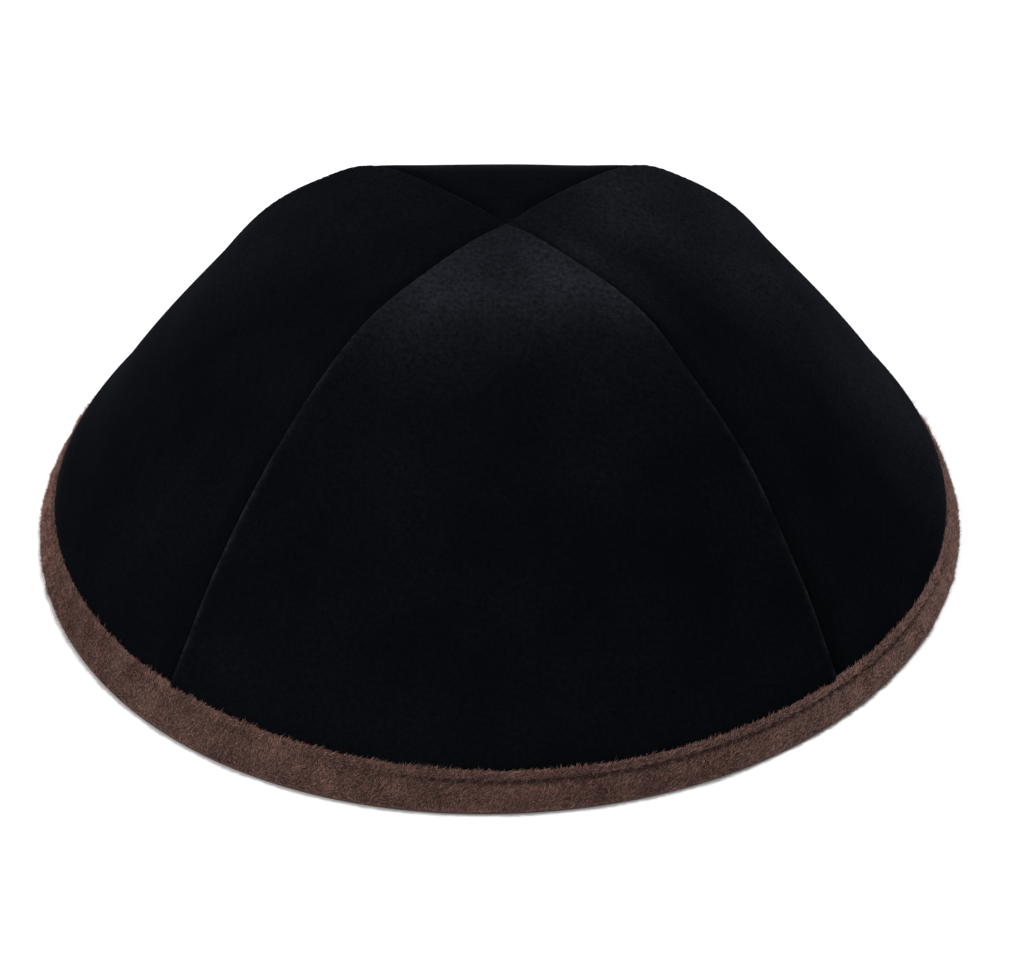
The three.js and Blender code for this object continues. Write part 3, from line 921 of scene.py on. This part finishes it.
def bump_from(tree, height, millimetres):
    """A normal tilted by the slopes of a height map so many millimetres deep, at half strength."""
    return add_node(tree, "ShaderNodeBump", {
        "Height": height, "Strength": 0.5, "Distance": millimetres * MM,
    }).outputs["Normal"]


def add_shader(tree, inputs):
    """The shader with its inputs, joined to the material's output."""
    shader = add_node(tree, "ShaderNodeBsdfPrincipled", inputs)
    add_node(tree, "ShaderNodeOutputMaterial", {"Surface": shader.outputs["BSDF"]})


# %% Cotton velvet
def velvet_material():
    """Cotton velvet, woven and cut: short upright pile in a blue-black dye. The pile drinks light
    seen square on and glows softly at a slant. Flecks show where tufts lean, and wide patches where
    the nap was stroked another way. A real tuft is near 0.2 mm and too fine to see, so the flecks
    are drawn at 0.8 mm."""
    material, tree = new_material("cotton_velvet_midnight")
    flecks = noise(tree, 0.8, 4.0, 0.75)
    # This attribute holds painted highlights, painted sheen and painted shade, with the cloth's own uneven
    # patches.
    nap_and_light_attribute = add_node(tree, "ShaderNodeAttribute", attribute_name="nap_and_painted_light")
    tone_with_painted_light = add_node(tree, "ShaderNodeMath", {
        0: noise(tree, 14.0, 5.0, 0.7), 1: 0.18, 2: nap_and_light_attribute.outputs["Fac"],
    }, operation="MULTIPLY_ADD")
    fleck_range = add_node(tree, "ShaderNodeMapRange", {
        "Value": flecks, "From Min": 0.3, "From Max": 0.7, "To Min": 0.3, "To Max": 1.75,
    })
    flecked = add_node(tree, "ShaderNodeMath", {
        0: tone_with_painted_light.outputs["Value"], 1: fleck_range.outputs["Result"],
    }, operation="MULTIPLY")
    add_shader(tree, {
        # The lighter colour is reached where the attribute holds painted light.
        "Base Color": mix_colours(tree, flecked.outputs["Value"], "#040507", "#15171b", clamp=False),
        "Roughness": 1.0,
        "Specular IOR Level": 0.0,
        "Sheen Weight": 0.033,
        "Sheen Roughness": 0.22,
        "Sheen Tint": linear("#c3cbe0"),
        "Normal": bump_from(tree, flecks, 0.12),
    })
    return material


velvet = velvet_material()
print("velvet nodes:", len(velvet.node_tree.nodes))


# %% Velour ground, thread and the velvet's back
def simple_cloth(name, dark, light, size, roughness, sheen):
    """A cloth with flecks between a dark and a light colour. The flecks' size is in millimetres,
    and wider than the real fibres, which are too fine to see."""
    material, tree = new_material(name)
    flecks = noise(tree, size, 2.0, 0.6)
    add_shader(tree, {
        "Base Color": mix_colours(tree, flecks, dark, light),
        "Roughness": roughness,
        "Specular IOR Level": 0.25,
        "Sheen Weight": sheen,
        "Sheen Roughness": 0.5,
        "Normal": bump_from(tree, flecks, 0.1),
    })
    return material


def backing_material():
    """The velvet's own back: a plain weave of black cotton. Two sets of ridges cross, and the
    higher one shows. A real thread is near 0.3 mm and too fine to see, so it is drawn at 0.7 mm."""
    thread_mm = 0.7
    material, tree = new_material("woven_backing_black")
    cloth = add_node(tree, "ShaderNodeUVMap", uv_map="cloth").outputs["UV"]
    wave_repeat = 0.314  # how often a wave comes at scale 1, in the map's own unit, the metre
    scale = wave_repeat / (thread_mm * MM)
    ridges = [add_node(tree, "ShaderNodeTexWave", {
        "Vector": cloth, "Scale": scale, "Distortion": 0.4,
    }, bands_direction=direction).outputs["Fac"] for direction in ("X", "Y")]
    height = add_node(tree, "ShaderNodeMath", {0: ridges[0], 1: ridges[1]}, operation="MAXIMUM")
    add_shader(tree, {
        "Base Color": mix_colours(tree, height.outputs["Value"], "#08090b", "#1d1f24"),
        "Roughness": 0.9,
        "Specular IOR Level": 0.2,
        "Normal": bump_from(tree, height.outputs["Value"], 0.1),
    })
    return material


backing = backing_material()
# Polyester velour tape, whose ground hardly shows under its pile, and polyester sewing thread.
velour = simple_cloth("velour_ground_brown", "#33211d", "#523831", 0.7, 0.95, 0.1)
thread = simple_cloth("polyester_thread_brown", "#1c0e0b", "#301c17", 0.4, 0.8, 0.0)
print("cloths:", velour.name, thread.name, backing.name)


# %% The pile's material, and each piece gets its own
def pile_material():
    """Brushed velour pile in brown: each tuft has its own shade, and it glows a little at a slant."""
    material, tree = new_material("velour_pile_brown")
    # Each tuft's tone includes painted light on the binding's left side and painted shade in the stitched
    # groove.
    tone = add_node(tree, "ShaderNodeAttribute", attribute_name="tuft_tone")
    add_shader(tree, {
        "Base Color": mix_colours(tree, tone.outputs["Fac"], "#271411", "#91685c"),
        "Roughness": 0.85,
        "Specular IOR Level": 0.25,
        "Sheen Weight": 0.1,
        "Sheen Roughness": 0.5,
    })
    return material


pile = pile_material()
for piece in panel_pieces.values():
    piece.data.materials.append(velvet)
    piece.data.materials.append(backing)
tape.data.materials.append(velour)
for piece in (outer_stitches, inner_stitches):
    piece.data.materials.append(thread)
for piece in (*pile_pieces, inner_pile):
    piece.data.materials.append(pile)
print("materials:", [material.name for material in bpy.data.materials])

# %% [markdown]
# ## Floor and light
#
# Black velvet shows its shape only by its sheen, so the lamps are large and soft. The strongest
# hangs above and a little behind for the crown's shoulder. One stands in front on the left, and one
# at each side for the outline. A sky image would be quicker, but lamps can be aimed one by one.

# %% Floor
FLOOR_HALF = 4.0
floor_mesh = bpy.data.meshes.new("floor")
floor_mesh.from_pydata(
    [(-FLOOR_HALF, -FLOOR_HALF, 0), (FLOOR_HALF, -FLOOR_HALF, 0), (FLOOR_HALF, FLOOR_HALF, 0),
     (-FLOOR_HALF, FLOOR_HALF, 0)], [], [(0, 1, 2, 3)],
)
floor = bpy.data.objects.new("floor", floor_mesh)
bpy.context.scene.collection.objects.link(floor)
paper, paper_tree = new_material("matte_white_paper")
add_shader(paper_tree, {"Base Color": linear("#f2f2f2"), "Roughness": 0.9, "Specular IOR Level": 0.1})
floor_mesh.materials.append(paper)
print("floor side in m:", 2 * FLOOR_HALF)

# %% Lamps
# Columns: name, place in metres, width and height of the lamp, watts.
LAMPS = (
    ("overhead", (0.20, 0.25, 1.50), 0.7, 0.7, 22.0),
    ("front_fill", (-0.90, -1.15, 0.65), 0.9, 0.6, 9.5),
    ("right_side", (1.25, 0.00, 0.35), 0.6, 0.5, 2.5),
    ("left_side", (-1.25, -0.10, 0.35), 0.6, 0.5, 7.0),
)
LAMP_TARGET = Vector((0, 0, 0.03))
LAMP_UP = Vector((0, 1, 0.01))
for lamp_name, lamp_place, lamp_width, lamp_height, watts in LAMPS:
    lamp_data = bpy.data.lights.new(lamp_name, "AREA")
    lamp_data.shape = "RECTANGLE"
    lamp_data.size, lamp_data.size_y, lamp_data.energy = lamp_width, lamp_height, watts
    lamp = bpy.data.objects.new(lamp_name, lamp_data)
    lamp.matrix_world = look(Vector(lamp_place), LAMP_TARGET, LAMP_UP)
    bpy.context.scene.collection.objects.link(lamp)

world = bpy.data.worlds.new("studio")
world.use_nodes = True
world.node_tree.nodes["Background"].inputs["Color"].default_value = linear("#f4f6f8")
world.node_tree.nodes["Background"].inputs["Strength"].default_value = 0.25
bpy.context.scene.world = world
bpy.context.scene.view_settings.view_transform = "Standard"
print("lamps:", [lamp_row[0] for lamp_row in LAMPS])

# %% [markdown]
# ## What each piece stands for
#
# The model is now tied to the fixed frame: each piece rides on the cap's one body and hides the CAD
# solid that it replaces. The panels' cut widths row by row and the points of one spine are worked out
# too, but nothing uses them.

panel_angles, _ = panel_grid()
spine_points = cap_point(0, panel_angles, 0.0)
cut_widths = 2 * half_width(panel_angles)
for name, piece in panel_pieces.items():
    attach(piece, "root")
    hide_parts(f"panel_{name}")

tape_extras = [*pile_pieces, inner_pile, outer_stitches, inner_stitches]
for piece in (tape, *tape_extras):
    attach(piece, "root")
    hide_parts("rim_binding")
